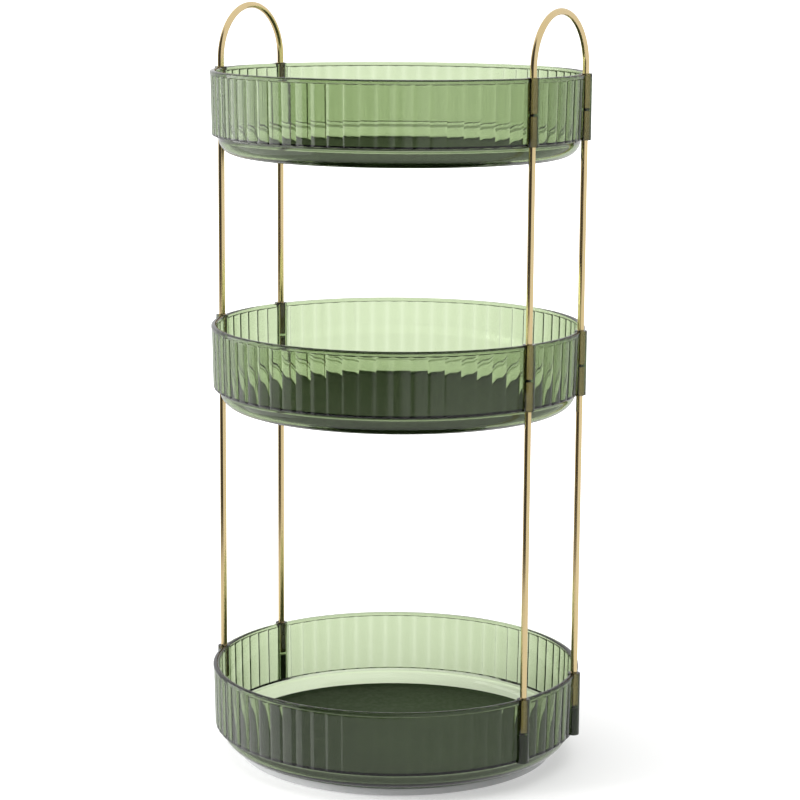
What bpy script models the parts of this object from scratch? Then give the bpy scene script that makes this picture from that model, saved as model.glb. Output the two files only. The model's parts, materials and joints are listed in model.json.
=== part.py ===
"""Three-tier rotating makeup organizer.

Three round, reeded, see-through plastic trays stand one above the other on
thin gold rods. Each tray carries four moulded sleeves that straddle its wall,
and a closed partition splits every sleeve into an upper and a lower socket.
The rods join the trays through those sockets, and two arched handles plug
into the top tray. The bottom tray turns on a ball ring over a low base.

Metres, +Z up. The origin is the centre of the footprint at floor level, the
handles stand at +X and -X, and the front of the organizer looks along -Y.
"""

from math import asin, cos, pi, radians, sin, tau

import bmesh
import bpy
from mathutils import Matrix, Vector

# Fits
TOUCH_GAP = 0.0003        # between pieces that touch or slide
CUT_OVERRUN = 0.0010      # how far every cutter runs past the face it opens

# Tray outside
TRAY_RADIUS = 0.1150      # outer radius of the lip round the rim
LIP_HEIGHT = 0.0026
LIP_OVERHANG = 0.0004     # lip past the crests of the reeds
REED_DEPTH = 0.0010       # valley to crest
REED_COUNT = 72
WALL_DRAFT = 0.0008       # the wall leans in this much from lip to ledge
LEDGE_DROP = 0.0383       # rim to the ledge where the reeds end
LEDGE_STEP = 0.0026       # the bowl starts this far inside the valleys
BOWL_NECK = 0.0005        # straight stretch between the ledge and the rounding
BOWL_RADIUS = 0.0120      # rounding from the ledge to the flat underside

# Tray inside
WALL_THICKNESS = 0.0022   # behind the valleys
FLOOR_THICKNESS = 0.0024

# Rods, sleeves and handles
ROD_RADIUS = 0.0020
ROD_CHAMFER = 0.0004
ROD_INSET = 0.0009                # rod centres inside the outer radius of the lip
ROD_HALF_ANGLE = radians(16.7)    # each side's two rods stand this far off the X axis
SLEEVE_RADIUS = 0.0039
SLEEVE_PROUD = 0.0003             # above the rim
SLEEVE_BELOW_LEDGE = 0.0010
UPPER_SOCKET_DEPTH = 0.0202       # rim to the partition
PARTITION_THICKNESS = 0.0016
HANDLE_LEG_RISE = 0.0044          # straight leg from the rim to the arch

# Tiers, rim to rim
LOWER_TIER_PITCH = 0.2145
UPPER_TIER_PITCH = 0.1544

# Base
FOOT_STANDOFF = 0.0010    # the feet lift the base off the floor
FOOT_RADIUS = 0.0060
FOOT_RECESS_DEPTH = 0.0012
FOOT_INSET = 0.0130       # foot centres inside the edge of the base
FOOT_COUNT = 4
BASE_INSET = 0.0140       # edge of the base inside the lip of the tray
BASE_EDGE_RADIUS = 0.0012
BASE_SKIRT_THICKNESS = 0.0020
BASE_PLATE_THICKNESS = 0.0022
BASE_STACK_HEIGHT = 0.0054    # base underside to tray underside
TRAY_CLEARANCE = 0.0008       # skirt and hub to tray underside

# Ball ring
BALL_RADIUS = 0.0020
BALL_COUNT = 8
RACE_INSET = 0.0310       # circle of the balls inside the edge of the base
RETAINER_HALF_WIDTH = 0.0050
RETAINER_THICKNESS = 0.0016

# Pivot
BOSS_RADIUS = 0.0055
BOSS_HEIGHT = 0.0027
HUB_WALL = 0.0022
WASHER_RADIUS = 0.0087
WASHER_THICKNESS = 0.0007
SCREW_SHANK_RADIUS = 0.0015
SCREW_HEAD_RADIUS = 0.0032
SCREW_HEAD_HEIGHT = 0.0012
SCREW_HEAD_CROWN = 0.0004
SCREW_SLOT_WIDTH = 0.0008
SCREW_SLOT_LENGTH = 0.0036
SCREW_SLOT_DEPTH = 0.0007
SCREW_BITE = 0.0012           # shank into the tray floor above the boss

# Facets round each kind of piece
TRAY_FACETS = 60
TRAY_FACET_START_SHARE = 0.25     # of a facet, so no tray facet lines up with a reed's valley
REED_FACETS = 3
SLEEVE_FACETS = 14
ROD_FACETS = 12
ARCH_STEPS = 14
BASE_FACETS = 48
RETAINER_FACETS = 32
SMALL_FACETS = 16
POCKET_FACETS = 8
OUTER_BOWL_STEPS = 3
INNER_BOWL_STEPS = 2
GROOVE_STEPS = 3
EDGE_STEPS = 2
SMOOTH_ANGLE = radians(35)

# Circles that follow the tray
ROD_CIRCLE_RADIUS = TRAY_RADIUS - ROD_INSET
BASE_RADIUS = TRAY_RADIUS - BASE_INSET
FOOT_CIRCLE_RADIUS = BASE_RADIUS - FOOT_INSET
RACE_CIRCLE_RADIUS = BASE_RADIUS - RACE_INSET

# Heights of the base, from the floor up
BASE_BOTTOM = FOOT_STANDOFF
PLATE_TOP = BASE_BOTTOM + BASE_PLATE_THICKNESS
TRAY_BOTTOM = BASE_BOTTOM + BASE_STACK_HEIGHT
SKIRT_TOP = TRAY_BOTTOM - TRAY_CLEARANCE
BALL_HEIGHT = (PLATE_TOP + TRAY_BOTTOM) / 2
BOSS_BOTTOM = TRAY_BOTTOM - BOSS_HEIGHT
WASHER_TOP = BOSS_BOTTOM - TOUCH_GAP
HEAD_TOP = WASHER_TOP - WASHER_THICKNESS - TOUCH_GAP

# Radii and heights of a tray, measured from the centre of its underside
TRAY_HEIGHT = LEDGE_DROP + BOWL_NECK + BOWL_RADIUS
LEDGE_HEIGHT = TRAY_HEIGHT - LEDGE_DROP
CREST_RADIUS = TRAY_RADIUS - LIP_OVERHANG
VALLEY_RADIUS = CREST_RADIUS - REED_DEPTH
VALLEY_FOOT_RADIUS = VALLEY_RADIUS - WALL_DRAFT
BOWL_OUTER_RADIUS = VALLEY_FOOT_RADIUS - LEDGE_STEP
FLOOR_RADIUS = BOWL_OUTER_RADIUS - BOWL_RADIUS
WALL_INNER_RADIUS = VALLEY_RADIUS - WALL_THICKNESS
WALL_FOOT_RADIUS = VALLEY_FOOT_RADIUS - WALL_THICKNESS
INNER_BOWL_RADIUS = BOWL_RADIUS - FLOOR_THICKNESS
SHELF_HEIGHT = LEDGE_HEIGHT + FLOOR_THICKNESS
SLEEVE_TOP = TRAY_HEIGHT + SLEEVE_PROUD
SLEEVE_BOTTOM = LEDGE_HEIGHT - SLEEVE_BELOW_LEDGE
PARTITION_TOP = TRAY_HEIGHT - UPPER_SOCKET_DEPTH
PARTITION_BOTTOM = PARTITION_TOP - PARTITION_THICKNESS
SOCKET_RADIUS = ROD_RADIUS + TOUCH_GAP

# Heights of the three trays
BOTTOM_TRAY_HEIGHT = TRAY_BOTTOM
MIDDLE_TRAY_HEIGHT = BOTTOM_TRAY_HEIGHT + LOWER_TIER_PITCH
TOP_TRAY_HEIGHT = MIDDLE_TRAY_HEIGHT + UPPER_TIER_PITCH

# Where the rods stand: name and turn about the Z axis
ROD_PLACES = (
    ("right_front", -ROD_HALF_ANGLE),
    ("right_rear", ROD_HALF_ANGLE),
    ("left_rear", pi - ROD_HALF_ANGLE),
    ("left_front", pi + ROD_HALF_ANGLE),
)
HANDLE_SIDES = (("right", 0), ("left", pi))


def clear_scene():
    """Empty the file of objects without closing it."""
    for old in list(bpy.data.objects):
        bpy.data.objects.remove(old, do_unlink=True)


def material(name, colour, roughness, metallic=0.0, transmission=0.0, ior=1.5):
    """One Principled BSDF material."""
    made = bpy.data.materials.new(name)
    made.use_nodes = True
    shader = made.node_tree.nodes["Principled BSDF"]
    shader.inputs["Base Color"].default_value = (*colour, 1.0)
    shader.inputs["Roughness"].default_value = roughness
    shader.inputs["Metallic"].default_value = metallic
    shader.inputs["Transmission Weight"].default_value = transmission
    shader.inputs["IOR"].default_value = ior
    made.diffuse_color = (*colour, 1.0)
    return made


def on_circle(radius, angle, height=0.0):
    """A point on a level circle round the Z axis."""
    return Vector((radius * cos(angle), radius * sin(angle), height))


def arc(centre_radius, centre_height, radius, start, end, steps):
    """Points of a profile along an arc, from one angle to another."""
    turns = [start + (end - start) * step / steps for step in range(steps + 1)]
    return [(centre_radius + radius * cos(turn), centre_height + radius * sin(turn)) for turn in turns]


def turned(profile, facets, closed=False, start=0.0):
    """Turn a profile of (radius, height) points about the Z axis, from a starting angle."""
    shape = bmesh.new()
    points = [shape.verts.new(on_circle(radius, start, height)) for radius, height in profile]
    edges = [shape.edges.new(pair) for pair in zip(points, points[1:])]
    if closed:
        edges.append(shape.edges.new((points[-1], points[0])))
    bmesh.ops.spin(
        shape, geom=points + edges, cent=(0, 0, 0), axis=(0, 0, 1), angle=tau, steps=facets, use_merge=True
    )
    tidy(shape)
    return shape


def tidy(shape):
    """Weld the poles and point every face outwards."""
    weld = TOUCH_GAP / 100
    bmesh.ops.remove_doubles(shape, verts=shape.verts, dist=weld)
    bmesh.ops.dissolve_degenerate(shape, edges=shape.edges, dist=weld)
    bmesh.ops.recalc_face_normals(shape, faces=shape.faces)


def cylinder(shape, radius, bottom, top, facets, place=None):
    """Add an upright cylinder between two heights."""
    made = bmesh.ops.create_cone(
        shape,
        cap_ends=True,
        segments=facets,
        radius1=radius,
        radius2=radius,
        depth=top - bottom,
        matrix=Matrix.Translation((0, 0, (bottom + top) / 2)),
    )["verts"]
    if place is not None:
        bmesh.ops.translate(shape, verts=made, vec=place)


def solid(name, shape, finish=None, parent=None, place=(0, 0, 0), turn=0.0):
    """Make an object from a shape, smooth it and put it in its place."""
    mesh = bpy.data.meshes.new(name)
    shape.to_mesh(mesh)
    shape.free()
    mesh.shade_smooth()
    mesh.set_sharp_from_angle(angle=SMOOTH_ANGLE)
    return placed(name, mesh, finish, parent, place, turn)


def placed(name, mesh, finish=None, parent=None, place=(0, 0, 0), turn=0.0):
    """Put a mesh in the scene as an object."""
    piece = bpy.data.objects.new(name, mesh)
    bpy.context.scene.collection.objects.link(piece)
    if finish is not None and not mesh.materials:
        mesh.materials.append(finish)
    piece.parent = parent
    piece.location = place
    piece.rotation_euler = (0, 0, turn)
    return piece


def axis_empty(name, height):
    """An empty on the turning axis that carries what turns together."""
    empty = bpy.data.objects.new(name, None)
    empty.empty_display_size = BASE_RADIUS
    empty.location = (0, 0, height)
    bpy.context.scene.collection.objects.link(empty)
    return empty


def tool(name, shape, parent):
    """A guide body for a Boolean, never a piece of the organizer."""
    guide = solid(name, shape, parent=parent)
    guide.hide_render = True
    guide.display_type = "WIRE"
    return guide


def boolean(piece, operation, guide):
    """Join a guide to a piece or cut it away."""
    step = piece.modifiers.new(guide.name, "BOOLEAN")
    step.operation = operation
    step.solver = "EXACT"
    step.object = guide


# The trays

def tray_core_profile(underside=()):
    """Flat underside, rounded bowl, plain wall and lip of a tray, still solid inside."""
    bowl = arc(FLOOR_RADIUS, BOWL_RADIUS, BOWL_RADIUS, -pi / 2, 0, OUTER_BOWL_STEPS)
    lip_underside = TRAY_HEIGHT - LIP_HEIGHT
    return [
        (0, 0),
        *underside,
        *bowl,
        (BOWL_OUTER_RADIUS, lip_underside),
        (TRAY_RADIUS, lip_underside),
        (TRAY_RADIUS, TRAY_HEIGHT),
        (0, TRAY_HEIGHT),
    ]


def tray_cavity_profile():
    """The room inside a tray, run out above the rim."""
    bowl = arc(FLOOR_RADIUS, BOWL_RADIUS, INNER_BOWL_RADIUS, -pi / 2, 0, INNER_BOWL_STEPS)
    return [
        (0, FLOOR_THICKNESS),
        *bowl,
        (WALL_FOOT_RADIUS, SHELF_HEIGHT),
        (WALL_INNER_RADIUS, TRAY_HEIGHT),
        (WALL_INNER_RADIUS, TRAY_HEIGHT + CUT_OVERRUN),
        (0, TRAY_HEIGHT + CUT_OVERRUN),
    ]


def reeded_wall():
    """A block whose sides are round reeds with sharp valleys, leaning in to the ledge."""
    shape = bmesh.new()
    facets = REED_COUNT * REED_FACETS
    bmesh.ops.create_circle(shape, cap_ends=True, radius=VALLEY_FOOT_RADIUS, segments=facets)
    for point in shape.verts:
        around = Vector((1, 0)).angle_signed(point.co.xy) / tau * REED_COUNT
        swell = REED_DEPTH * abs(sin(pi * around))
        point.co.xy *= (VALLEY_FOOT_RADIUS + swell) / VALLEY_FOOT_RADIUS
    raised = bmesh.ops.extrude_face_region(shape, geom=shape.faces[:])["geom"]
    crown = [part for part in raised if isinstance(part, bmesh.types.BMVert)]
    for point in crown:
        point.co.xy += point.co.xy.normalized() * WALL_DRAFT
    bmesh.ops.translate(shape, verts=crown, vec=(0, 0, LEDGE_DROP - LIP_HEIGHT / 2))
    bmesh.ops.translate(shape, verts=shape.verts, vec=(0, 0, LEDGE_HEIGHT))
    tidy(shape)
    return shape


def sleeves():
    """Four upright sleeves that straddle the wall."""
    shape = bmesh.new()
    for _, angle in ROD_PLACES:
        place = on_circle(ROD_CIRCLE_RADIUS, angle)
        cylinder(shape, SLEEVE_RADIUS, SLEEVE_BOTTOM, SLEEVE_TOP, SLEEVE_FACETS, place)
    return shape


def sockets():
    """The bores above and below the partition of every sleeve."""
    shape = bmesh.new()
    for _, angle in ROD_PLACES:
        place = on_circle(ROD_CIRCLE_RADIUS, angle)
        cylinder(shape, SOCKET_RADIUS, PARTITION_TOP, SLEEVE_TOP + CUT_OVERRUN, ROD_FACETS, place)
        cylinder(shape, SOCKET_RADIUS, SLEEVE_BOTTOM - CUT_OVERRUN, PARTITION_BOTTOM, ROD_FACETS, place)
    return shape


def tray(name, height, plastic, parent, underside=()):
    """One tray: core and reeds joined, then hollowed, then given its sleeves."""
    start = TRAY_FACET_START_SHARE * tau / TRAY_FACETS
    core = turned(tray_core_profile(underside), TRAY_FACETS, start=start)
    piece = solid(name, core, plastic, parent, (0, 0, height))
    boolean(piece, "UNION", tool(name + "_reeds", reeded_wall(), piece))
    cavity = turned(tray_cavity_profile(), TRAY_FACETS, start=start)
    boolean(piece, "DIFFERENCE", tool(name + "_cavity", cavity, piece))
    boolean(piece, "UNION", tool(name + "_sleeves", sleeves(), piece))
    boolean(piece, "DIFFERENCE", tool(name + "_sockets", sockets(), piece))
    return piece


# The ball ring

def race_groove(surface, ball_height):
    """Profile points of the groove that the balls run in, from its inner edge to its outer."""
    groove_radius = BALL_RADIUS + TOUCH_GAP
    side = asin((surface - ball_height) / groove_radius)
    start, end = (pi - side, tau + side) if surface < ball_height else (pi - side, side)
    return arc(RACE_CIRCLE_RADIUS, ball_height, groove_radius, start, end, GROOVE_STEPS)


def ball_retainer(plastic, parent):
    """A flat ring with a pocket for every ball."""
    inner = RACE_CIRCLE_RADIUS - RETAINER_HALF_WIDTH
    outer = RACE_CIRCLE_RADIUS + RETAINER_HALF_WIDTH
    half = RETAINER_THICKNESS / 2
    section = [(inner, -half), (outer, -half), (outer, half), (inner, half)]
    ring = turned(section, RETAINER_FACETS, closed=True)
    piece = solid("ball_retainer", ring, plastic, parent)
    pockets = bmesh.new()
    reach = half + CUT_OVERRUN
    radius = (BALL_RADIUS + TOUCH_GAP) / cos(pi / POCKET_FACETS)
    for index in range(BALL_COUNT):
        place = on_circle(RACE_CIRCLE_RADIUS, tau * index / BALL_COUNT)
        cylinder(pockets, radius, -reach, reach, POCKET_FACETS, place)
    boolean(piece, "DIFFERENCE", tool("retainer_pockets", pockets, piece))
    return piece


def bearing_balls(steel, parent):
    """The steel balls, one in each pocket of the retainer."""
    shape = bmesh.new()
    bmesh.ops.create_icosphere(shape, subdivisions=2, radius=BALL_RADIUS)
    mesh = bpy.data.meshes.new("bearing_ball")
    shape.to_mesh(mesh)
    shape.free()
    mesh.shade_smooth()
    for index in range(BALL_COUNT):
        place = on_circle(RACE_CIRCLE_RADIUS, tau * index / BALL_COUNT)
        placed("bearing_ball_%02d" % (index + 1), mesh, steel, parent, place)


# The pivot under the bottom tray

def pivot_boss():
    """The boss under the bottom tray, sunk a little into the floor it grows from."""
    shape = bmesh.new()
    cylinder(shape, BOSS_RADIUS, -BOSS_HEIGHT, FLOOR_THICKNESS / 2, SMALL_FACETS)
    return shape


def screw_hole():
    """The hole for the pivot screw, up through the boss and into the floor."""
    shape = bmesh.new()
    top = SCREW_BITE + TOUCH_GAP
    cylinder(shape, SCREW_SHANK_RADIUS + TOUCH_GAP, -BOSS_HEIGHT - CUT_OVERRUN, top, ROD_FACETS)
    return shape


def add_pivot_to(piece):
    """Give the bottom tray its boss and the screw's hole."""
    boolean(piece, "UNION", tool("pivot_boss", pivot_boss(), piece))
    boolean(piece, "DIFFERENCE", tool("pivot_screw_hole", screw_hole(), piece))


def pivot_washer(steel, parent):
    """The washer that laps under the hub of the base and holds the tray down."""
    hole = SCREW_SHANK_RADIUS + TOUCH_GAP
    bottom = WASHER_TOP - WASHER_THICKNESS
    ring = [(hole, bottom), (WASHER_RADIUS, bottom), (WASHER_RADIUS, WASHER_TOP), (hole, WASHER_TOP)]
    return solid("pivot_washer", turned(ring, SMALL_FACETS, closed=True), steel, parent)


def pivot_screw(steel, parent):
    """A pan-head screw driven up from below into the boss."""
    bottom = HEAD_TOP - SCREW_HEAD_HEIGHT
    profile = [
        (0, bottom),
        (SCREW_HEAD_RADIUS - SCREW_HEAD_CROWN, bottom),
        (SCREW_HEAD_RADIUS, bottom + SCREW_HEAD_CROWN),
        (SCREW_HEAD_RADIUS, HEAD_TOP),
        (SCREW_SHANK_RADIUS, HEAD_TOP),
        (SCREW_SHANK_RADIUS, TRAY_BOTTOM + SCREW_BITE),
        (0, TRAY_BOTTOM + SCREW_BITE),
    ]
    piece = solid("pivot_screw", turned(profile, SMALL_FACETS), steel, parent)
    cross = bmesh.new()
    for size in ((SCREW_SLOT_LENGTH, SCREW_SLOT_WIDTH), (SCREW_SLOT_WIDTH, SCREW_SLOT_LENGTH)):
        depth = SCREW_SLOT_DEPTH + CUT_OVERRUN
        place = Matrix.Translation((0, 0, bottom + SCREW_SLOT_DEPTH - depth / 2))
        scale = Matrix.Diagonal((*size, depth, 1))
        bmesh.ops.create_cube(cross, size=1, matrix=place @ scale)
    guide = tool("pivot_screw_recess", cross, piece)
    boolean(piece, "DIFFERENCE", guide)
    piece.modifiers[guide.name].use_self = True
    return piece


# The base

def base_profile():
    """A low dish with a skirt, a plate and a hub that hangs over the washer."""
    hub_bore = BOSS_RADIUS + TOUCH_GAP
    well = WASHER_RADIUS + TOUCH_GAP
    hub = well + HUB_WALL
    web_bottom = WASHER_TOP + TOUCH_GAP
    edge = BASE_RADIUS - BASE_EDGE_RADIUS
    lower_edge = arc(edge, BASE_BOTTOM + BASE_EDGE_RADIUS, BASE_EDGE_RADIUS, -pi / 2, 0, EDGE_STEPS)
    skirt_inner = BASE_RADIUS - BASE_SKIRT_THICKNESS
    lower_race = race_groove(PLATE_TOP, BALL_HEIGHT)
    return [
        (well, BASE_BOTTOM),
        *lower_edge,
        (BASE_RADIUS, SKIRT_TOP),
        (skirt_inner, SKIRT_TOP),
        (skirt_inner, PLATE_TOP),
        *reversed(lower_race),
        (hub, PLATE_TOP),
        (hub, SKIRT_TOP),
        (hub_bore, SKIRT_TOP),
        (hub_bore, web_bottom),
        (well, web_bottom),
    ]


def foot_places():
    """Where the feet sit, turned half a step off the X axis."""
    return [on_circle(FOOT_CIRCLE_RADIUS, tau * (index + 0.5) / FOOT_COUNT) for index in range(FOOT_COUNT)]


def base_plate(plastic):
    """The fixed base with its lower race and its foot recesses."""
    piece = solid("base_plate", turned(base_profile(), BASE_FACETS, closed=True), plastic)
    recesses = bmesh.new()
    for place in foot_places():
        radius = FOOT_RADIUS + TOUCH_GAP
        top = BASE_BOTTOM + FOOT_RECESS_DEPTH
        cylinder(recesses, radius, BASE_BOTTOM - CUT_OVERRUN, top, SMALL_FACETS, place)
    boolean(piece, "DIFFERENCE", tool("foot_recesses", recesses, piece))
    return piece


def rubber_feet(rubber):
    """Four round pads, each set in its recess and standing on the floor."""
    shape = bmesh.new()
    cylinder(shape, FOOT_RADIUS, 0, BASE_BOTTOM + FOOT_RECESS_DEPTH - TOUCH_GAP, SMALL_FACETS)
    mesh = bpy.data.meshes.new("rubber_foot")
    shape.to_mesh(mesh)
    shape.free()
    for index, place in enumerate(foot_places()):
        placed("rubber_foot_%d" % (index + 1), mesh, rubber, place=place)


# The rods and the handles

def rod_mesh(name, length):
    """A straight rod with chamfered ends, standing on its lower end."""
    shape = bmesh.new()
    cylinder(shape, ROD_RADIUS, 0, length, ROD_FACETS)
    rims = [edge for edge in shape.edges if edge.verts[0].co.z == edge.verts[1].co.z]
    bmesh.ops.bevel(
        shape, geom=rims, offset=ROD_CHAMFER, affect="EDGES", segments=1, profile=0.5, material=-1
    )
    mesh = bpy.data.meshes.new(name)
    shape.to_mesh(mesh)
    shape.free()
    mesh.shade_smooth()
    mesh.set_sharp_from_angle(angle=SMOOTH_ANGLE)
    return mesh


def rods(tier, lower_tray, upper_tray, gold, parent):
    """Four rods from the upper sockets of one tray to the lower sockets of the next."""
    bottom = lower_tray + PARTITION_TOP + TOUCH_GAP
    top = upper_tray + PARTITION_BOTTOM - TOUCH_GAP
    mesh = rod_mesh(tier + "_rod", top - bottom)
    for name, angle in ROD_PLACES:
        placed(tier + "_rod_" + name, mesh, gold, parent, on_circle(ROD_CIRCLE_RADIUS, angle, bottom))


def handle_mesh():
    """A leg, a half-round arch and a second leg, swept from one round face."""
    half_span = ROD_CIRCLE_RADIUS * sin(ROD_HALF_ANGLE)
    foot = PARTITION_TOP + TOUCH_GAP
    spring_line = TRAY_HEIGHT + HANDLE_LEG_RISE
    shape = bmesh.new()
    bmesh.ops.create_circle(shape, cap_ends=False, radius=ROD_RADIUS, segments=ROD_FACETS)
    bmesh.ops.translate(shape, verts=shape.verts, vec=(0, -half_span, foot))
    ring = lift(shape, shape.edges[:], spring_line - foot)
    arch = bmesh.ops.spin(
        shape, geom=ring, cent=(0, 0, spring_line), axis=(-1, 0, 0), angle=pi, steps=ARCH_STEPS
    )["geom_last"]
    ring = [part for part in arch if isinstance(part, bmesh.types.BMEdge)]
    lift(shape, ring, foot - spring_line)
    bmesh.ops.holes_fill(shape, edges=shape.edges, sides=ROD_FACETS)
    tidy(shape)
    mesh = bpy.data.meshes.new("handle")
    shape.to_mesh(mesh)
    shape.free()
    mesh.shade_smooth()
    mesh.set_sharp_from_angle(angle=SMOOTH_ANGLE)
    return mesh


def lift(shape, edges, distance):
    """Extrude a level ring of edges straight up or down and return the new ring."""
    moved = bmesh.ops.extrude_edge_only(shape, edges=edges)["geom"]
    points = [part for part in moved if isinstance(part, bmesh.types.BMVert)]
    bmesh.ops.translate(shape, verts=points, vec=(0, 0, distance))
    ends = set(points)
    return [part for part in moved if isinstance(part, bmesh.types.BMEdge) and ends.issuperset(part.verts)]


def handles(gold, parent):
    """One arched handle on each side, plugged into the top tray."""
    mesh = handle_mesh()
    reach = ROD_CIRCLE_RADIUS * cos(ROD_HALF_ANGLE)
    for side, turn in HANDLE_SIDES:
        placed(side + "_handle", mesh, gold, parent, on_circle(reach, turn, TOP_TRAY_HEIGHT), turn)


def build():
    """Put the whole organizer together."""
    clear_scene()
    green_plastic = material("green_plastic", (0.20, 0.33, 0.14), 0.08, transmission=0.9, ior=1.49)
    pale_plastic = material("pale_plastic", (0.62, 0.63, 0.62), 0.35)
    white_plastic = material("white_plastic", (0.80, 0.80, 0.78), 0.40)
    gold = material("gold", (0.86, 0.62, 0.31), 0.18, metallic=1.0)
    steel = material("steel", (0.62, 0.62, 0.64), 0.25, metallic=1.0)
    rubber = material("rubber", (0.05, 0.05, 0.05), 0.80)

    base_plate(pale_plastic)
    rubber_feet(rubber)

    ball_axis = axis_empty("ball_ring_axis", BALL_HEIGHT)
    ball_retainer(white_plastic, ball_axis)
    bearing_balls(steel, ball_axis)

    turntable = axis_empty("turntable_axis", 0)
    upper_race = race_groove(0, BALL_HEIGHT - TRAY_BOTTOM)
    bottom = tray("bottom_tray", BOTTOM_TRAY_HEIGHT, green_plastic, turntable, upper_race)
    add_pivot_to(bottom)
    tray("middle_tray", MIDDLE_TRAY_HEIGHT, green_plastic, turntable)
    tray("top_tray", TOP_TRAY_HEIGHT, green_plastic, turntable)
    pivot_washer(steel, turntable)
    pivot_screw(steel, turntable)
    rods("lower", BOTTOM_TRAY_HEIGHT, MIDDLE_TRAY_HEIGHT, gold, turntable)
    rods("upper", MIDDLE_TRAY_HEIGHT, TOP_TRAY_HEIGHT, gold, turntable)
    handles(gold, turntable)


build()
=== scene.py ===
"""Looks of the three-tier rotating makeup organizer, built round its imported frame.

The trays, rods, handles and base are modelled again here with fine reeds and
round edges; the ball ring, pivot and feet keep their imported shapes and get
finishes. Metres, +Z up, origin at the centre of the footprint on the floor.
"""

import json
from math import asin, atan2, copysign, cos, floor, pi, radians, sin, sqrt, tau

import bmesh
import bpy
from mathutils import Matrix, Vector

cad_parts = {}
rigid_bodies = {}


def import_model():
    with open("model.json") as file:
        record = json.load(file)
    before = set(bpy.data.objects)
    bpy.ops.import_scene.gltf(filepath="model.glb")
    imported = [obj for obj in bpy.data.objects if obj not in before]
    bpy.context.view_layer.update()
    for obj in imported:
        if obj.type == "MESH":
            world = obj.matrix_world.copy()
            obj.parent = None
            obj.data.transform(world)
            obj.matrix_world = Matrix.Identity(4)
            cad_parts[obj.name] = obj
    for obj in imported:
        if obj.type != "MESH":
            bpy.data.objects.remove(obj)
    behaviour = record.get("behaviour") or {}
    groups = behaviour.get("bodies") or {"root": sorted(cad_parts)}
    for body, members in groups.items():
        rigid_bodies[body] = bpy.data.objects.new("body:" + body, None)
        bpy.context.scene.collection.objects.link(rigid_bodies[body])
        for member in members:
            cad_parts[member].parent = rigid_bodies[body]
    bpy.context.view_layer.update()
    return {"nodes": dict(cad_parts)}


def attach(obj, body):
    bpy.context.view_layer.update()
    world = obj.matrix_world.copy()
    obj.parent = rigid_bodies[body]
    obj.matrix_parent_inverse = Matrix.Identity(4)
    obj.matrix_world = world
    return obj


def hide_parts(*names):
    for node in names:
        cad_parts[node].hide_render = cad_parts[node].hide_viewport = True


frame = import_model()

# Clearances, and how far off still counts as one place, level or upright
TOUCH_GAP = 0.0003
CUT_OVERRUN = 0.0010
WELD_DISTANCE = 2e-6
LEVEL_SLACK = 1e-6
UPRIGHT_SLACK = 0.1

# Trays, with heights above a tray's own underside
TRAY_RADIUS = 0.1150
TRAY_HEIGHT = 0.0508
LIP_HEIGHT = 0.0026
LIP_EDGE_RADIUS = 0.0003
RIM_CROWN = 0.0012
WALL_INNER_RADIUS = 0.1114
WALL_FOOT_RADIUS = 0.1106
SHELF_HEIGHT = 0.0130
LEDGE_HEIGHT = 0.0117
NECK_RADIUS = 0.1108
NECK_BOTTOM = 0.0107
NECK_CHAMFER = 0.0010
BOWL_RADIUS = 0.0112
FLOOR_RADIUS = 0.0990
FLOOR_THICKNESS = 0.0024
SUPPORT = 0.0006

# Reeds on the trays' walls
REED_COUNT = 72
REED_DEPTH = 0.0006
REED_FULLNESS = 3.0
REED_CROWDING = 1.5
REED_END_RADIUS = 0.0003
REED_END_LENGTH = 0.0006
REED_FOOT_RISES = (0.0006, 0.0012)
REED_HEAD_DROPS = (0.0012, 0.0006, 0.0003, 0.0001)
VALLEY_RADIUS = 0.1140
VALLEY_FOOT_RADIUS = 0.1132

# Satin part of a tray's floor, its dark colour painted shade
SHADED_SATIN_RADIUS = 0.1032
SHADED_SATIN_RISE = 0.0012
SHADED_SATIN_FOOT_RADIUS = 0.1055

# Sleeves and their sockets, with heights above a tray's own underside
SLEEVE_RADIUS = 0.0039
SLEEVE_BOTTOM = 0.0115
SLEEVE_TOP = 0.0511
SLEEVE_EDGE_RADIUS = 0.0003
CHANNEL_RADIUS = 0.0009
CHANNEL_GAP = 0.0003
SOCKET_GAP = 0.00002
PARTITION_TOP = 0.0306
PARTITION_BOTTOM = 0.0290

# Rods and handles
ROD_RADIUS = 0.0020
ROD_EDGE_RADIUS = 0.0004
ROD_CIRCLE_RADIUS = 0.1141
ROD_HALF_ANGLE = radians(16.7)
HANDLE_LEG_RISE = 0.0044
ROD_PLACES = (
    ("right_front", -ROD_HALF_ANGLE),
    ("right_rear", ROD_HALF_ANGLE),
    ("left_rear", pi - ROD_HALF_ANGLE),
    ("left_front", pi + ROD_HALF_ANGLE),
)

# Undersides of the trays above the floor
BOTTOM_TRAY_HEIGHT = 0.0064
MIDDLE_TRAY_HEIGHT = 0.2209
TOP_TRAY_HEIGHT = 0.3753

# Base, ball race, boss and hub, with heights above the floor
BASE_BOTTOM = 0.0010
BASE_RADIUS = 0.0990
BASE_EDGE_RADIUS = 0.0012
SKIRT_INNER_RADIUS = 0.0970
SKIRT_TOP = 0.0056
SKIRT_EDGE_RADIUS = 0.0004
PLATE_TOP = 0.0032
FOOT_COUNT = 4
FOOT_RADIUS = 0.0060
FOOT_RECESS_DEPTH = 0.0012
FOOT_CIRCLE_RADIUS = 0.0880
BALL_HEIGHT = 0.0048
GROOVE_RADIUS = 0.0023
RACE_CIRCLE_RADIUS = 0.0700
BOSS_RADIUS = 0.0055
BOSS_BOTTOM = 0.0037
HUB_RADIUS = 0.0112
HUB_BORE_RADIUS = 0.0058
WELL_RADIUS = 0.0090
WEB_BOTTOM = 0.0037

# Screw's hole in the bottom tray, rising above its underside
SCREW_HOLE_RADIUS = 0.0018
SCREW_HOLE_RISE = 0.0015

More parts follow.
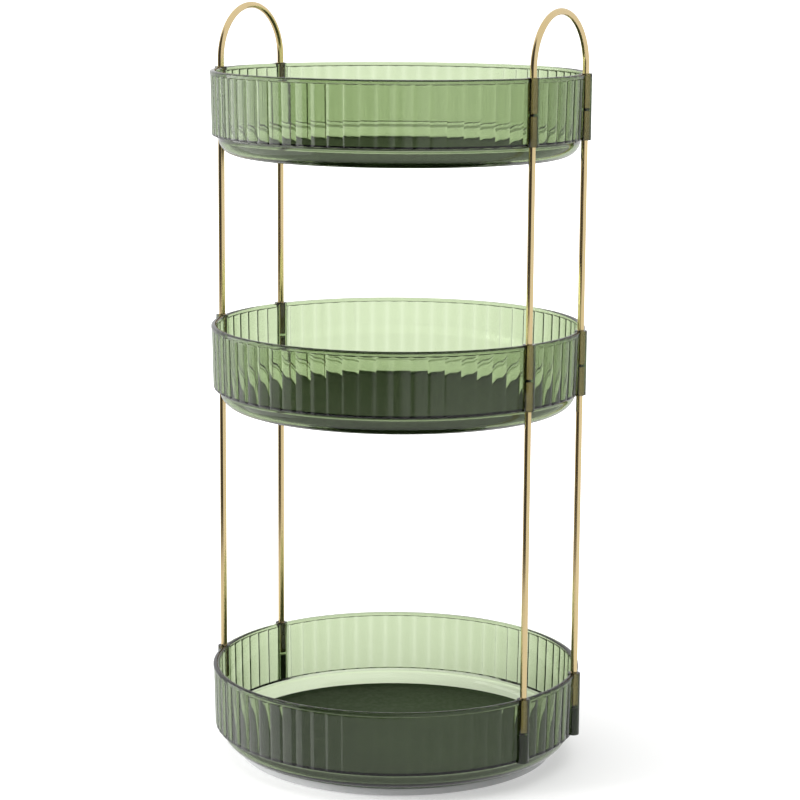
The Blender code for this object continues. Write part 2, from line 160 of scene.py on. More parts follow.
# Steps along round stretches
REED_STEPS = 12
TRAY_STEPS = REED_COUNT * REED_STEPS
BOWL_STEPS = 12
CROWN_STEPS = 12
RACE_STEPS = 8
EDGE_STEPS = 3
BASE_EDGE_STEPS = 6
SLEEVE_STEPS = 48
CHANNEL_STEPS = 24
ROD_STEPS = 40
ARCH_STEPS = 64
ROUND_STEPS = 192
SMOOTH_ANGLE = radians(28)

# A tray's finishes, in the order that its faces count them; the satin and the socket gold carry painted
# shade
CLEAR, SHADED_SATIN, SHADED_GOLD = 0, 1, 2

# Green of the tray plastic, in its depth
PLASTIC_TINT = (0.269, 0.397, 0.062, 1)
PLASTIC_DENSITY = 340.0

# Where the photograph was taken from
CAMERA_AZIMUTH = radians(31.3)
CAMERA_DISTANCE = 1.52063
CAMERA_HEIGHT = 0.49882
CAMERA_PITCH = 0.17928
CAMERA_YAW = 0.00095
CAMERA_ROLL = 0.00695
CAMERA_LENS = 112.233
CAMERA_FILM_WIDTH = 36.0
CAMERA_REACH = 50.0

# Studio: its floor, backdrop, mirrored table, soft boxes and boards
FLOOR_SWEEP = 60.0
# Glow of the floor paper, weaker near the organizer as a painted shadow
FAR_GLOW = 0.81
NEAR_GLOW = 0.32
GLOW_SHADE = 0.09
BACKDROP_GLOW = 1.2
TABLE_GLOW = 0.84
TABLE_START = radians(15)
TABLE_FULL = radians(18)
SOFT_BOX_AIM = 0.22
BOARD_AZIMUTH = -92
BOARD_DISTANCE = 1.5
BOARD_WIDTH = 1.9


# Shaping

def on_circle(radius, angle, height=0.0):
    """A point on a level circle round the Z axis."""
    return Vector((radius * cos(angle), radius * sin(angle), height))


def arc(centre_radius, centre_height, radius, start, end, steps):
    """Points of a profile along an arc."""
    turns = [start + (end - start) * step / steps for step in range(steps + 1)]
    return [(centre_radius + radius * cos(turn), centre_height + radius * sin(turn)) for turn in turns]


def turned(profile, steps, closed=False):
    """Turn a profile of (radius, height) points about the Z axis."""
    shape = bmesh.new()
    points = [shape.verts.new(on_circle(radius, 0, height)) for radius, height in profile]
    edges = [shape.edges.new(pair) for pair in zip(points, points[1:])]
    if closed:
        edges.append(shape.edges.new((points[-1], points[0])))
    bmesh.ops.spin(
        shape, geom=points + edges, cent=(0, 0, 0), axis=(0, 0, 1), angle=tau, steps=steps, use_merge=True
    )
    tidy(shape)
    return shape


def tidy(shape):
    """Weld the poles and point every face outwards."""
    bmesh.ops.remove_doubles(shape, verts=shape.verts, dist=WELD_DISTANCE)
    bmesh.ops.dissolve_degenerate(shape, edges=shape.edges, dist=WELD_DISTANCE)
    bmesh.ops.recalc_face_normals(shape, faces=shape.faces)


def post(shape, radius, bottom, top, steps, place, edge=0.0):
    """Add an upright round post, its rims rounded by edge."""
    made = bmesh.ops.create_cone(
        shape, cap_ends=True, segments=steps, radius1=radius, radius2=radius, depth=top - bottom
    )["verts"]
    bmesh.ops.translate(shape, verts=made, vec=place + Vector((0, 0, (bottom + top) / 2)))
    if edge:
        rims = [
            rim for rim in shape.edges
            if rim.verts[0] in made and abs(rim.verts[0].co.z - rim.verts[1].co.z) < LEVEL_SLACK
        ]
        bmesh.ops.bevel(
            shape, geom=rims, offset=edge, affect="EDGES", segments=EDGE_STEPS, profile=0.5, material=-1
        )


def smooth(mesh):
    """Shade a mesh smooth and keep its true edges sharp."""
    mesh.shade_smooth()
    mesh.set_sharp_from_angle(angle=SMOOTH_ANGLE)


def mesh_from(name, shape):
    """A smooth mesh of a shape, which is used up."""
    mesh = bpy.data.meshes.new(name)
    shape.to_mesh(mesh)
    shape.free()
    smooth(mesh)
    return mesh


def piece_from(name, mesh, finishes, height=0.0, place=None, turn=0.0):
    """An object at the origin whose mesh is put in its place."""
    place = Vector((0, 0, height)) if place is None else place
    mesh.transform(Matrix.Translation(place) @ Matrix.Rotation(turn, 4, "Z"))
    piece = bpy.data.objects.new(name, mesh)
    bpy.context.scene.collection.objects.link(piece)
    for finish in finishes:
        mesh.materials.append(finish)
    return piece


def mesh_of(piece):
    """The mesh of a piece that was only made to be carved."""
    mesh = piece.data
    bpy.data.objects.remove(piece)
    return mesh


def carve(piece, operation, shape):
    """Join a body to a piece or cut it away, and keep only the result."""
    guide = bpy.data.objects.new("guide", bpy.data.meshes.new("guide"))
    shape.to_mesh(guide.data)
    shape.free()
    bpy.context.scene.collection.objects.link(guide)
    step = piece.modifiers.new("carve", "BOOLEAN")
    step.operation = operation
    step.solver = "EXACT"
    step.object = guide
    bpy.context.view_layer.update()
    done = bpy.data.meshes.new_from_object(piece.evaluated_get(bpy.context.evaluated_depsgraph_get()))
    piece.modifiers.clear()
    piece.data = done
    bpy.data.objects.remove(guide)


# The trays

def tray_profile():
    """Section of a tray from the axis, out under the bowl, up the wall and back over the floor.

    Long straight stretches have a support point near each rounded end, so their shading stays flat.
    """
    lip_bottom = TRAY_HEIGHT - LIP_HEIGHT
    lip = TRAY_RADIUS - LIP_EDGE_RADIUS
    rim_middle = (TRAY_RADIUS + WALL_INNER_RADIUS) / 2
    rim_half = (TRAY_RADIUS - WALL_INNER_RADIUS) / 2
    crown_foot = TRAY_HEIGHT - RIM_CROWN
    crown_turns = [pi * step / CROWN_STEPS for step in range(CROWN_STEPS + 1)]
    reed_foot = VALLEY_FOOT_RADIUS - REED_END_RADIUS
    wall_lean = (VALLEY_RADIUS - VALLEY_FOOT_RADIUS) / (lip_bottom - LEDGE_HEIGHT)
    neck_turn = -asin((BOWL_RADIUS - NECK_BOTTOM + NECK_CHAMFER) / BOWL_RADIUS)
    inside = arc(FLOOR_RADIUS, BOWL_RADIUS, BOWL_RADIUS - FLOOR_THICKNESS, -pi / 2, 0, BOWL_STEPS)
    return [
        (0, 0),
        (FLOOR_RADIUS - SUPPORT, 0),
        *arc(FLOOR_RADIUS, BOWL_RADIUS, BOWL_RADIUS, -pi / 2, neck_turn, BOWL_STEPS - 1),
        (NECK_RADIUS, NECK_BOTTOM),
        (NECK_RADIUS, LEDGE_HEIGHT),
        (reed_foot, LEDGE_HEIGHT),
        *arc(reed_foot, LEDGE_HEIGHT + REED_END_RADIUS, REED_END_RADIUS, -pi / 2, 0, EDGE_STEPS)[1:],
        *[(VALLEY_FOOT_RADIUS + wall_lean * rise, LEDGE_HEIGHT + rise) for rise in REED_FOOT_RISES],
        *[(VALLEY_RADIUS - wall_lean * drop, lip_bottom - drop) for drop in REED_HEAD_DROPS],
        (VALLEY_RADIUS, lip_bottom),
        *arc(lip, lip_bottom + LIP_EDGE_RADIUS, LIP_EDGE_RADIUS, -pi / 2, 0, EDGE_STEPS),
        *[(rim_middle + rim_half * cos(turn), crown_foot + RIM_CROWN * sin(turn)) for turn in crown_turns],
        (WALL_INNER_RADIUS - wall_lean * SUPPORT, crown_foot - SUPPORT),
        (WALL_FOOT_RADIUS, SHELF_HEIGHT),
        *reversed(inside),
        (FLOOR_RADIUS - SUPPORT, FLOOR_THICKNESS),
        (0, FLOOR_THICKNESS),
    ]


def swell_reeds(shape):
    """Push the plain wall out into full reeds with round ends that meet in sharp valleys."""
    lip_bottom = TRAY_HEIGHT - LIP_HEIGHT
    reed_foot = VALLEY_FOOT_RADIUS - 2 * REED_END_RADIUS
    for point in shape.verts:
        radius = point.co.xy.length
        if radius < FLOOR_RADIUS / 2:
            continue
        reed = atan2(point.co.y, point.co.x) / tau * REED_COUNT
        middle = floor(reed) + 0.5
        across = 2 * (reed - middle)
        across = copysign(1 - (1 - min(abs(across), 1.0)) ** REED_CROWDING, across)
        angle = (middle + across / 2) / REED_COUNT * tau
        height = point.co.z
        if LEDGE_HEIGHT - LEVEL_SLACK < height < lip_bottom + LEVEL_SLACK and radius > reed_foot:
            from_end = min(height - LEDGE_HEIGHT, lip_bottom - height) / REED_END_LENGTH
            rounding = sqrt(max(1 - (1 - min(from_end, 1.0)) ** 2, 0.0))
            radius += REED_DEPTH * rounding * (1 - abs(across) ** REED_FULLNESS)
        point.co = on_circle(radius, angle, height)


def sleeve_posts():
    """The four sleeves that straddle the wall, still solid."""
    shape = bmesh.new()
    for _, angle in ROD_PLACES:
        place = on_circle(ROD_CIRCLE_RADIUS, angle)
        post(shape, SLEEVE_RADIUS, SLEEVE_BOTTOM, SLEEVE_TOP, SLEEVE_STEPS, place, SLEEVE_EDGE_RADIUS)
    return shape


def sleeve_channels():
    """The upright channel on each side of a sleeve, where the reeds stop short of it."""
    shape = bmesh.new()
    bottom, top = LEDGE_HEIGHT - CUT_OVERRUN, TRAY_HEIGHT - LIP_HEIGHT
    for _, angle in ROD_PLACES:
        for side in (-1, 1):
            turn = angle + side * (SLEEVE_RADIUS + CHANNEL_GAP) / ROD_CIRCLE_RADIUS
            place = on_circle(VALLEY_RADIUS + REED_DEPTH, turn)
            post(shape, CHANNEL_RADIUS, bottom, top, CHANNEL_STEPS, place)
    return shape


def sleeve_sockets():
    """The bores above and below the partition."""
    shape = bmesh.new()
    radius = ROD_RADIUS + SOCKET_GAP
    for _, angle in ROD_PLACES:
        place = on_circle(ROD_CIRCLE_RADIUS, angle)
        post(shape, radius, PARTITION_TOP, SLEEVE_TOP + CUT_OVERRUN, ROD_STEPS, place)
        post(shape, radius, SLEEVE_BOTTOM - CUT_OVERRUN, PARTITION_BOTTOM, ROD_STEPS, place)
    return shape


def mark_finishes(mesh, lower_sockets_full):
    """Give the floor and the empty sockets the satin, dark with painted shade, and the sockets that hold a
    rod the gold, dark with painted shade.
    """
    axes = [on_circle(ROD_CIRCLE_RADIUS, angle).xy for _, angle in ROD_PLACES]
    for face in mesh.polygons:
        middle = face.center
        near_floor = middle.z < FLOOR_THICKNESS + SHADED_SATIN_RISE
        # On the bottom tray, faces that look down or sideways take the painted shade out to the wider foot
        # radius, under the bowl.
        shaded_satin_edge = SHADED_SATIN_RADIUS if lower_sockets_full or face.normal.z > 0 else SHADED_SATIN_FOOT_RADIUS
        face.material_index = SHADED_SATIN if near_floor and middle.xy.length < shaded_satin_edge else CLEAR
        in_bore = min((middle.xy - axis).length for axis in axes) < ROD_RADIUS + 2 * TOUCH_GAP
        if in_bore and abs(face.normal.z) < UPRIGHT_SLACK:
            in_upper = middle.z > PARTITION_TOP + TOUCH_GAP
            in_lower = middle.z < PARTITION_BOTTOM - TOUCH_GAP
            face.material_index = SHADED_GOLD if in_upper or lower_sockets_full and in_lower else SHADED_SATIN


def tray_mesh(name):
    """One tray with fine reeds, four sleeves and split sockets."""
    shape = turned(tray_profile(), TRAY_STEPS)
    swell_reeds(shape)
    tidy(shape)
    piece = piece_from(name, mesh_from(name, shape), [])
    carve(piece, "DIFFERENCE", sleeve_channels())
    carve(piece, "UNION", sleeve_posts())
    carve(piece, "DIFFERENCE", sleeve_sockets())
    return mesh_of(piece)


def bottom_tray_mesh(name, plain):
    """The bottom tray: a plain one whose underside gets the ball race, the boss and the screw's hole."""
    boss = BOSS_BOTTOM - BOTTOM_TRAY_HEIGHT
    ball = BALL_HEIGHT - BOTTOM_TRAY_HEIGHT
    side = asin(-ball / GROOVE_RADIUS)
    underside = turned([
        (0, SCREW_HOLE_RISE),
        (SCREW_HOLE_RADIUS, SCREW_HOLE_RISE),
        (SCREW_HOLE_RADIUS, boss),
        (BOSS_RADIUS, boss),
        (BOSS_RADIUS, 0),
        *arc(RACE_CIRCLE_RADIUS, ball, GROOVE_RADIUS, pi - side, side, RACE_STEPS),
        (FLOOR_RADIUS, 0),
    ], TRAY_STEPS)
    mesh = mesh_from(name, underside)
    shape = bmesh.new()
    shape.from_mesh(plain)
    flat = [face for face in shape.faces if max(point.co.z for point in face.verts) < LEVEL_SLACK]
    bmesh.ops.delete(shape, geom=flat, context="FACES")
    shape.from_mesh(mesh)
    tidy(shape)
    bpy.data.meshes.remove(mesh)
    return mesh_from(name, shape)


# Rods, handles and base

def rod_mesh(name, bottom, top):
    """A straight rod with rounded ends."""
    shape = bmesh.new()
    post(shape, ROD_RADIUS, bottom, top, ROD_STEPS, Vector(), ROD_EDGE_RADIUS)
    return mesh_from(name, shape)


def lift(shape, edges, distance):
    """Extrude a level ring of edges straight up or down and return the new ring."""
    moved = bmesh.ops.extrude_edge_only(shape, edges=edges)["geom"]
    points = [part for part in moved if isinstance(part, bmesh.types.BMVert)]
    bmesh.ops.translate(shape, verts=points, vec=(0, 0, distance))
    ends = set(points)
    return [part for part in moved if isinstance(part, bmesh.types.BMEdge) and ends.issuperset(part.verts)]


def handle_mesh(name):
    """A leg, a half-round arch and a second leg, swept from one round face."""
    half_span = ROD_CIRCLE_RADIUS * sin(ROD_HALF_ANGLE)
    foot = PARTITION_TOP + TOUCH_GAP
    spring_line = TRAY_HEIGHT + HANDLE_LEG_RISE
    shape = bmesh.new()
    bmesh.ops.create_circle(shape, cap_ends=False, radius=ROD_RADIUS, segments=ROD_STEPS)
    bmesh.ops.translate(shape, verts=shape.verts, vec=(0, -half_span, foot))
    ring = lift(shape, shape.edges[:], spring_line - foot)
    arch = bmesh.ops.spin(
        shape, geom=ring, cent=(0, 0, spring_line), axis=(-1, 0, 0), angle=pi, steps=ARCH_STEPS
    )["geom_last"]
    ring = [part for part in arch if isinstance(part, bmesh.types.BMEdge)]
    lift(shape, ring, foot - spring_line)
    bmesh.ops.holes_fill(shape, edges=shape.edges, sides=ROD_STEPS)
    tidy(shape)
    return mesh_from(name, shape)


def base_profile():
    """Section of the base: a low dish with a skirt, a ball race and a hub over the washer."""
    ball_side = asin((PLATE_TOP - BALL_HEIGHT) / GROOVE_RADIUS)
    race = arc(RACE_CIRCLE_RADIUS, BALL_HEIGHT, GROOVE_RADIUS, pi - ball_side, tau + ball_side, RACE_STEPS)
    edge = BASE_RADIUS - BASE_EDGE_RADIUS
    skirt_edge = BASE_RADIUS - SKIRT_EDGE_RADIUS
    return [
        (WELL_RADIUS, BASE_BOTTOM),
        *arc(edge, BASE_BOTTOM + BASE_EDGE_RADIUS, BASE_EDGE_RADIUS, -pi / 2, 0, BASE_EDGE_STEPS),
        *arc(skirt_edge, SKIRT_TOP - SKIRT_EDGE_RADIUS, SKIRT_EDGE_RADIUS, 0, pi / 2, EDGE_STEPS),
        (SKIRT_INNER_RADIUS, SKIRT_TOP),
        (SKIRT_INNER_RADIUS, PLATE_TOP),
        *reversed(race),
        (HUB_RADIUS, PLATE_TOP),
        (HUB_RADIUS, SKIRT_TOP),
        (HUB_BORE_RADIUS, SKIRT_TOP),
        (HUB_BORE_RADIUS, WEB_BOTTOM),
        (WELL_RADIUS, WEB_BOTTOM),
    ]


def base_mesh(name):
    """The base, with a recess under it for each foot."""
    piece = piece_from(name, mesh_from(name, turned(base_profile(), ROUND_STEPS, closed=True)), [])
    recesses = bmesh.new()
    bottom, top = BASE_BOTTOM - CUT_OVERRUN, BASE_BOTTOM + FOOT_RECESS_DEPTH
    for index in range(FOOT_COUNT):
        place = on_circle(FOOT_CIRCLE_RADIUS, tau * (index + 0.5) / FOOT_COUNT)
        post(recesses, FOOT_RADIUS + TOUCH_GAP, bottom, top, ROD_STEPS, place)
    carve(piece, "DIFFERENCE", recesses)
    mesh = mesh_of(piece)
    smooth(mesh)
    return mesh


# Finishes

class NodeBoard:
    """A node tree, with short calls to add nodes and join them."""

    def __init__(self, tree):
        self.tree = tree

    def node(self, kind, **settings):
        """Add a node and set its properties and sockets."""
        made = self.tree.nodes.new("ShaderNode" + kind)
        for name, value in settings.items():
            if hasattr(made, name):
                setattr(made, name, value)
            else:
                made.inputs[name.replace("_", " ")].default_value = value
        return made

    def feed(self, value, socket):
        """Give a socket a number, or join an output to it."""
        if isinstance(value, bpy.types.NodeSocket):
            self.tree.links.new(value, socket)
        else:
            socket.default_value = value

    def reckon(self, operation, first, second):
        """Work out one value from two, each a number or an output."""
        made = self.node("Math", operation=operation)
        self.feed(first, made.inputs[0])
        self.feed(second, made.inputs[1])
        return made.outputs["Value"]


class Finish(NodeBoard):
    """A Principled material with short calls to add the nodes that drive it."""

    def __init__(self, name, **values):
        self.material = bpy.data.materials.new(name)
        self.material.use_nodes = True
        super().__init__(self.material.node_tree)
        self.shader = self.tree.nodes["Principled BSDF"]
        for socket, value in values.items():
            self.shader.inputs[socket.replace("_", " ")].default_value = value

    def noise(self, scale, detail=3.0, roughness=0.5, stretch=(1, 1, 1)):
        """Noise over the piece's own coordinates, one value from 0 to 1."""
        place = self.node("TexCoord")
        mapping = self.node("Mapping", Scale=stretch)
        texture = self.node("TexNoise", Scale=scale, Detail=detail, Roughness=roughness)
        self.feed(place.outputs["Object"], mapping.inputs["Vector"])
        self.feed(mapping.outputs["Vector"], texture.inputs["Vector"])
        return texture.outputs["Fac"]

    def polish(self, value, low, high):
        """Drive the roughness between two numbers."""
        ramp = self.node("MapRange", From_Min=0.25, From_Max=0.75, To_Min=low, To_Max=high)
        self.feed(value, ramp.inputs["Value"])
        self.feed(ramp.outputs["Result"], self.shader.inputs["Roughness"])

    def shades(self, value, dark, light):
        """Drive the base colour between two shades."""
        ramp = self.node("ValToRGB")
        ends = ramp.color_ramp.elements
        ends[0].position = 0.3
        ends[0].color = (*dark, 1)
        ends[1].position = 0.7
        ends[1].color = (*light, 1)
        self.feed(value, ramp.inputs["Fac"])
        self.feed(ramp.outputs["Color"], self.shader.inputs["Base Color"])

    def grain(self, value, strength, distance):
        """Raise the surface slightly with a pattern."""
        bump = self.node("Bump", Strength=strength, Distance=distance)
        self.feed(value, bump.inputs["Height"])
        self.feed(bump.outputs["Normal"], self.shader.inputs["Normal"])

    def tint_depth(self):
        """Let light take on the plastic's green as it fades in the thickness of the wall."""
        fade = self.node("VolumeAbsorption", Color=PLASTIC_TINT, Density=PLASTIC_DENSITY)
        self.feed(fade.outputs["Volume"], self.tree.nodes["Material Output"].inputs["Volume"])


def clear_green(name):
    """Clear plastic with its green in its depth."""
    finish = Finish(name, Base_Color=(0.97, 0.99, 0.95, 1), IOR=1.49, Transmission_Weight=1.0)
    finish.polish(finish.noise(scale=90.0, detail=4.0), low=0.01, high=0.05)
    finish.grain(finish.noise(scale=55.0, detail=2.0, stretch=(1, 1, 0.35)), strength=0.05, distance=0.0004)
    finish.tint_depth()
    return finish.material


def shaded_satin_floor(name):
    """The frosted tray floor; its dark green colour is painted shade, so it reads as a dark disc."""
    finish = Finish(name, IOR=1.49, Specular_IOR_Level=0.15)
    finish.shades(
        finish.noise(scale=24.0, detail=5.0, roughness=0.6),
        dark=(0.034, 0.052, 0.022), light=(0.044, 0.066, 0.030)
    )
    finish.polish(finish.noise(scale=400.0, detail=2.0), low=0.45, high=0.60)
    finish.grain(finish.noise(scale=1400.0, detail=2.0), strength=0.03, distance=0.00005)
    finish.tint_depth()
    return finish.material


def polished_gold(name):
    """Gold plating with the faint length-wise lines of drawn rod."""
    finish = Finish(name, Metallic=1.0)
    finish.shades(
        finish.noise(scale=30.0, stretch=(1, 1, 0.2)), dark=(0.78, 0.61, 0.32), light=(0.86, 0.68, 0.38)
    )
    finish.polish(finish.noise(scale=900.0, detail=2.0, stretch=(1, 1, 0.02)), low=0.10, high=0.20)
    finish.grain(
        finish.noise(scale=1600.0, detail=1.0, stretch=(1, 1, 0.01)), strength=0.04, distance=0.00002
    )
    return finish.material


def shaded_socket_gold(name):
    """The rods' gold as it shows through a socket's wall, darkened with painted shade."""
    finish = Finish(name, Metallic=1.0)
    # Painted shade: a darker copy of the polished gold's colours
    finish.shades(
        finish.noise(scale=30.0, stretch=(1, 1, 0.2)), dark=(0.28, 0.20, 0.11), light=(0.34, 0.25, 0.14)
    )
    finish.polish(finish.noise(scale=900.0, detail=2.0, stretch=(1, 1, 0.02)), low=0.16, high=0.28)
    return finish.material


def moulded_plastic(name, dark, light, low, high):
    """Plain moulded plastic with a fine grain, its roughness from low to high."""
    finish = Finish(name, IOR=1.5)
    finish.shades(finish.noise(scale=35.0, detail=4.0), dark, light)
    finish.polish(finish.noise(scale=260.0), low, high)
    finish.grain(finish.noise(scale=1800.0, detail=2.0), strength=0.15, distance=0.00004)
    return finish.material


def bright_steel(name):
    """Zinc-bright steel with light handling marks."""
    finish = Finish(name, Metallic=1.0)
    finish.shades(finish.noise(scale=120.0), dark=(0.55, 0.55, 0.57), light=(0.68, 0.68, 0.70))
    finish.polish(finish.noise(scale=500.0, detail=4.0), low=0.16, high=0.34)
    finish.grain(finish.noise(scale=2400.0, detail=2.0), strength=0.08, distance=0.00002)
    return finish.material


# Putting it together

def dress(piece, node, body):
    """Let a new piece stand for a packed one and move with its body."""
    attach(piece, body)
    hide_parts(node)


def dress_trays():
    """The three mouldings, the upper two alike."""
    finishes = [
        clear_green("clear_green_plastic"),
        # The floor's satin, darkened with painted shade
        shaded_satin_floor("painted_shade_satin_floor"),
        # The rods' gold, darkened with painted shade, for the sockets
        shaded_socket_gold("shaded_gold_behind_plastic"),
    ]
    plain = tray_mesh("plain_tray")
    trays = (
        ("bottom_tray", BOTTOM_TRAY_HEIGHT, bottom_tray_mesh("bottom_tray_moulding", plain)),
        ("middle_tray", MIDDLE_TRAY_HEIGHT, plain.copy()),
        ("top_tray", TOP_TRAY_HEIGHT, plain),
    )
    for name, height, mesh in trays:
        mark_finishes(mesh, lower_sockets_full=name != "bottom_tray")
        smooth(mesh)
        tray = piece_from(name + "_moulding", mesh, finishes, height)
        dress(tray, name, "turntable")


def dress_rods(gold):
    """Four rods between the bottom and middle trays and four between the middle and top ones."""
    tiers = (
        ("lower", BOTTOM_TRAY_HEIGHT + PARTITION_TOP, MIDDLE_TRAY_HEIGHT + PARTITION_BOTTOM),
        ("upper", MIDDLE_TRAY_HEIGHT + PARTITION_TOP, TOP_TRAY_HEIGHT + PARTITION_BOTTOM),
    )
    for tier, bottom, top in tiers:
        for place, angle in ROD_PLACES:
            name = tier + "_rod_" + place
            mesh = rod_mesh(name, bottom + TOUCH_GAP, top - TOUCH_GAP)
            rod = piece_from(name + "_bright", mesh, [gold], place=on_circle(ROD_CIRCLE_RADIUS, angle))
            dress(rod, name, "turntable")


def dress_handles(gold):
    """The two arched handles over the top tray's sleeves."""
    reach = ROD_CIRCLE_RADIUS * cos(ROD_HALF_ANGLE)
    for side, turn in (("right", 0), ("left", pi)):
        name = side + "_handle"
        place = on_circle(reach, turn, TOP_TRAY_HEIGHT)
        handle = piece_from(name + "_bright", handle_mesh(name), [gold], place=place, turn=turn)
        dress(handle, name, "turntable")


def dress_base():
    """The pale disc that the trays turn on."""
    pale = moulded_plastic(
        "pale_base_plastic", dark=(0.33, 0.335, 0.335), light=(0.38, 0.385, 0.385), low=0.30, high=0.42
    )
    dress(piece_from("base_dish", base_mesh("base_dish"), [pale]), "base_plate", "base")


def finish_packed_pieces():
    """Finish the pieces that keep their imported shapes: the ball ring, the pivot and the feet."""
    steel = bright_steel("bright_steel")
    cage = moulded_plastic(
        "cage_plastic", dark=(0.76, 0.76, 0.73), light=(0.84, 0.84, 0.81), low=0.35, high=0.5
    )
    rubber = moulded_plastic(
        "foot_rubber", dark=(0.030, 0.030, 0.030), light=(0.050, 0.050, 0.048), low=0.70, high=0.90
    )
    kept = {"ball_retainer": cage, "pivot_screw": steel, "pivot_washer": steel}
    for name in frame["nodes"]:
        if name.startswith("bearing_ball"):
            kept[name] = steel
        if name.startswith("rubber_foot"):
            kept[name] = rubber
    for name, finish in kept.items():
        node = frame["nodes"][name]
        node.data.materials.clear()
        node.data.materials.append(finish)


def build_organizer():
    """Model every piece that shows and finish every packed one that stays."""
    gold = polished_gold("polished_gold")
    dress_trays()
    dress_rods(gold)
    dress_handles(gold)
    dress_base()
    finish_packed_pieces()


# Studio

def paper(name):
    """White paper that glows as if lit from behind on a light table; the glow is weaker near the organizer
    as a painted shadow.
    """
    finish = Finish(name, Roughness=0.9, Emission_Color=(1, 1, 1, 1), Specular_IOR_Level=0.0)
    finish.shades(finish.noise(scale=3.0, detail=2.0), dark=(0.78, 0.78, 0.78), light=(0.82, 0.82, 0.82))
    place = finish.node("TexCoord")
    distance = finish.node("VectorMath", operation="LENGTH")
    finish.feed(place.outputs["Object"], distance.inputs[0])
    # Painted shadow: the glow drops close to the organizer
    shade = finish.reckon("DIVIDE", GLOW_SHADE, distance.outputs["Value"])
    glow = finish.reckon("SUBTRACT", FAR_GLOW, shade)
    finish.feed(finish.reckon("MAXIMUM", glow, NEAR_GLOW), finish.shader.inputs["Emission Strength"])
    return finish.material


def studio_floor():
    """An endless pale floor that nothing mirrors."""
    shape = bmesh.new()
    bmesh.ops.create_circle(shape, cap_ends=True, radius=FLOOR_SWEEP, segments=ROUND_STEPS)
    sheet = piece_from("studio_floor", mesh_from("studio_floor", shape), [paper("white_paper")])
    sheet.visible_glossy = False


class Surroundings(NodeBoard):
    """The studio's world, with short calls to add the whites that fill it."""

    def __init__(self, name):
        world = bpy.data.worlds.new(name)
        bpy.context.scene.world = world
        world.use_nodes = True
        super().__init__(world.node_tree)
        self.tree.nodes.clear()
        self.way = self.node("TexCoord").outputs["Generated"]

    def white(self, strength):
        """White light of one brightness, or of one that an output drives."""
        made = self.node("Background", Color=(1, 1, 1, 1))
        self.feed(strength, made.inputs["Strength"])
        return made.outputs["Background"]

    def white_round(self, azimuth, near, far, low, high):
        """White that is low round an azimuth and high away from it, in degrees off the camera."""
        turn = CAMERA_AZIMUTH + radians(azimuth)
        facing = self.node("VectorMath", operation="DOT_PRODUCT")
        facing.inputs[1].default_value = (sin(turn), -cos(turn), 0)
        self.feed(self.way, facing.inputs[0])
        ramp = self.node(
            "MapRange", interpolation_type="SMOOTHSTEP",
            From_Min=cos(radians(far)), From_Max=cos(radians(near)), To_Min=high, To_Max=low
        )
        self.feed(facing.outputs["Value"], ramp.inputs["Value"])
        return self.white(ramp.outputs["Result"])

    def below(self, start, full):
        """How far a way points below the horizon: 0 at one angle and 1 at a steeper one."""
        height = self.node("SeparateXYZ")
        self.feed(self.way, height.inputs["Vector"])
        ramp = self.node("MapRange", From_Min=-sin(start), From_Max=-sin(full))
        self.feed(height.outputs["Z"], ramp.inputs["Value"])
        return ramp.outputs["Result"]

    def mix(self, share, first, second):
        """The first light where the share is 0 and the second where it is 1."""
        made = self.node("MixShader")
        for value, socket in zip((share, first, second), made.inputs):
            self.feed(value, socket)
        return made.outputs["Shader"]


def studio_world():
    """White all round. Polished pieces mirror a dark stretch on the camera's left and a pale table."""
    world = Surroundings("white_studio")
    dark_stretch = world.white_round(azimuth=-50, near=43, far=61, low=0.05, high=0.84)
    mirrored = world.mix(world.below(TABLE_START, TABLE_FULL), dark_stretch, world.white(TABLE_GLOW))
    diffuse = world.white_round(azimuth=30, near=40, far=120, low=0.5, high=1.5)
    ray = world.node("LightPath")
    shining = world.mix(ray.outputs["Is Glossy Ray"], diffuse, mirrored)
    seen = world.mix(ray.outputs["Is Camera Ray"], shining, world.white(BACKDROP_GLOW))
    world.feed(seen, world.node("OutputWorld").inputs["Surface"])


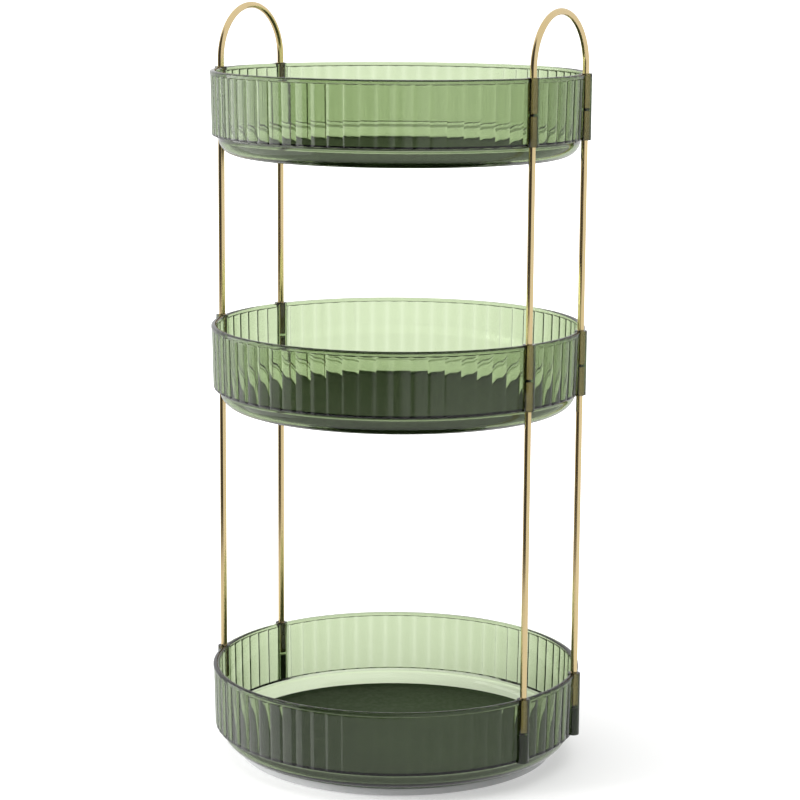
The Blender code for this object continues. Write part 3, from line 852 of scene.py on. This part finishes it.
def soft_light(name, azimuth, distance, height, size, power, aim=SOFT_BOX_AIM):
    """A soft box that faces the organizer at the height of its aim."""
    light = bpy.data.lights.new(name, "AREA")
    light.shape = "RECTANGLE"
    light.size, light.size_y = size
    light.energy = power
    lamp = bpy.data.objects.new(name, light)
    bpy.context.scene.collection.objects.link(lamp)
    turn = CAMERA_AZIMUTH + radians(azimuth)
    lamp.location = (distance * sin(turn), -distance * cos(turn), height)
    lamp.rotation_euler = (Vector((0, 0, aim)) - lamp.location).to_track_quat("-Z", "Y").to_euler()
    lamp.visible_camera = False
    lamp.visible_glossy = False
    lamp.visible_transmission = False
    return lamp


def tray_board(name, height, tall, power):
    """A bright board on the left that only the trays mirror."""
    lamp = soft_light(name, BOARD_AZIMUTH, BOARD_DISTANCE, height, (BOARD_WIDTH, tall), power, aim=height)
    lamp.visible_glossy = True
    lamp.visible_diffuse = False
    trays = bpy.data.collections.new(name + "_trays")
    for piece in bpy.context.scene.objects:
        if piece.name.endswith("_tray_moulding"):
            trays.objects.link(piece)
    lamp.light_linking.receiver_collection = trays


def studio_lights():
    """A strong soft box on the left, a faint one on the right, and two boards for the trays."""
    soft_light("left_soft_box", azimuth=-75, distance=1.6, height=0.5, size=(0.7, 1.0), power=30)
    soft_light("right_soft_box", azimuth=75, distance=1.6, height=0.9, size=(0.5, 1.2), power=4)
    tray_board("upper_board", height=0.53, tall=0.94, power=14)
    tray_board("lower_board", height=-0.42, tall=0.96, power=5.7)


def studio_camera():
    """The camera where the photograph was taken from."""
    lens = bpy.data.cameras.new("camera")
    lens.lens = CAMERA_LENS
    lens.sensor_width = CAMERA_FILM_WIDTH
    lens.clip_end = CAMERA_REACH
    camera = bpy.data.objects.new("camera", lens)
    bpy.context.scene.collection.objects.link(camera)
    turn = Matrix.Rotation(CAMERA_AZIMUTH, 4, "Z")
    spot = turn @ Vector((0, -CAMERA_DISTANCE, CAMERA_HEIGHT))
    aim = Matrix.Rotation(-CAMERA_YAW, 4, "Z") @ Matrix.Rotation(pi / 2 - CAMERA_PITCH, 4, "X")
    camera.matrix_world = Matrix.Translation(spot) @ turn @ aim @ Matrix.Rotation(CAMERA_ROLL, 4, "Z")
    bpy.context.scene.camera = camera


def studio():
    """Floor, white surroundings, lights, camera, and bounces enough for clear walls behind each other."""
    studio_floor()
    studio_world()
    studio_lights()
    studio_camera()
    scene = bpy.context.scene
    scene.view_settings.view_transform = "Standard"
    scene.cycles.max_bounces = 24
    scene.cycles.transmission_bounces = 24
    scene.cycles.glossy_bounces = 8
    scene.cycles.transparent_max_bounces = 16


build_organizer()
studio()
